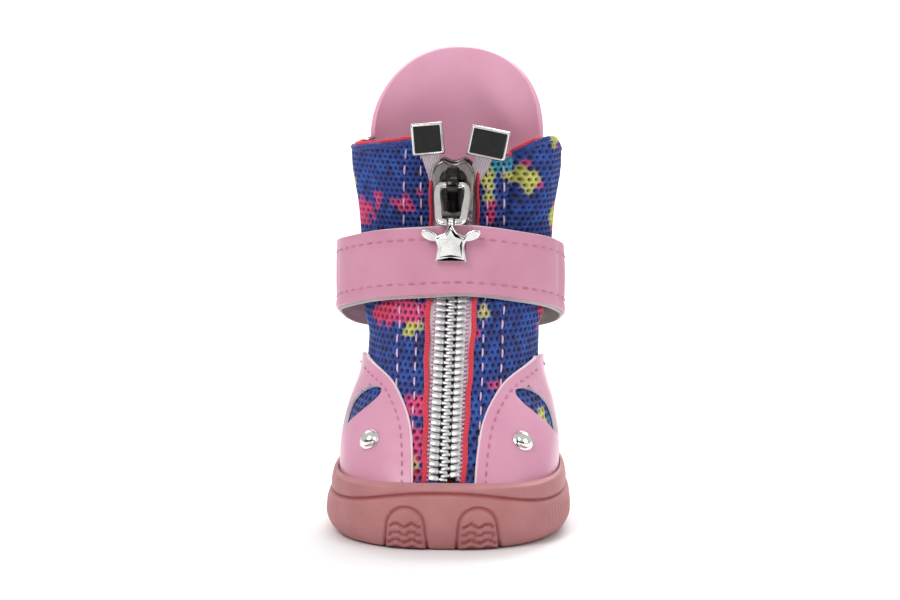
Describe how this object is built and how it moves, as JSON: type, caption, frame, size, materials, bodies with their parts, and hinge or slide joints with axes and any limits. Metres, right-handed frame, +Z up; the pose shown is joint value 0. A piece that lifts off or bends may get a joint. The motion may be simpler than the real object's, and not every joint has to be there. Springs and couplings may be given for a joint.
{
  "type": "dog boot",
  "caption": "Small zip-up dog boot with a moulded rubber cupsole, knitted mesh shaft, coated side panels, strap, back tab and a star charm on the zip.",
  "frame": {"origin": "on the floor, under the middle of the sole", "axes": "+Z up; the toe points to -Y and the heel to +Y; X runs across the boot, which is the same on both sides"},
  "size_m": [0.0446, 0.0617, 0.0846],
  "materials": {
    "sole_rubber": "matt moulded rubber, dusty rose",
    "knit_mesh": "open honeycomb knit, royal blue with pink, lime and teal patches",
    "panel_coating": "smooth coated synthetic leather, soft gloss, light pink",
    "strap_coating": "smooth coated synthetic leather, satin, pink, pale woven backing",
    "zip_tape": "woven tape, pale grey, neon coral fold beside it",
    "plated_metal": "bright plated metal",
    "dark_metal": "gunmetal plated die casting",
    "insole_cloth": "thin foam covered with cloth"
  },
  "bodies": {
    "boot": {"outsole": "sole_rubber", "insole": "insole_cloth", "upper": "knit_mesh", "side_panel_left": "panel_coating", "side_panel_right": "panel_coating", "rivet_left": "plated_metal", "rivet_right": "plated_metal", "strap": "strap_coating", "back_tab": "panel_coating", "zip_tape_left": "zip_tape", "zip_tape_right": "zip_tape", "zip_chain": "plated_metal", "zip_slider": "dark_metal", "clip_left": "plated_metal", "clip_right": "plated_metal"},
    "pull": {"zip_pull": "plated_metal"},
    "charm": {"zip_charm": "plated_metal"}
  },
  "joints": [
    {"name": "pull_swing", "type": "hinge", "parent": "boot", "child": "pull", "pos_m": [0, 0.0086, 0.0616], "axis": [-1, 0, 0], "range_deg": [0, 130]},
    {"name": "charm_swing", "type": "hinge", "parent": "pull", "child": "charm", "pos_m": [0, 0.00285, 0.0556], "axis": [-1, 0, 0], "range_deg": [0, 75]}
  ]
}
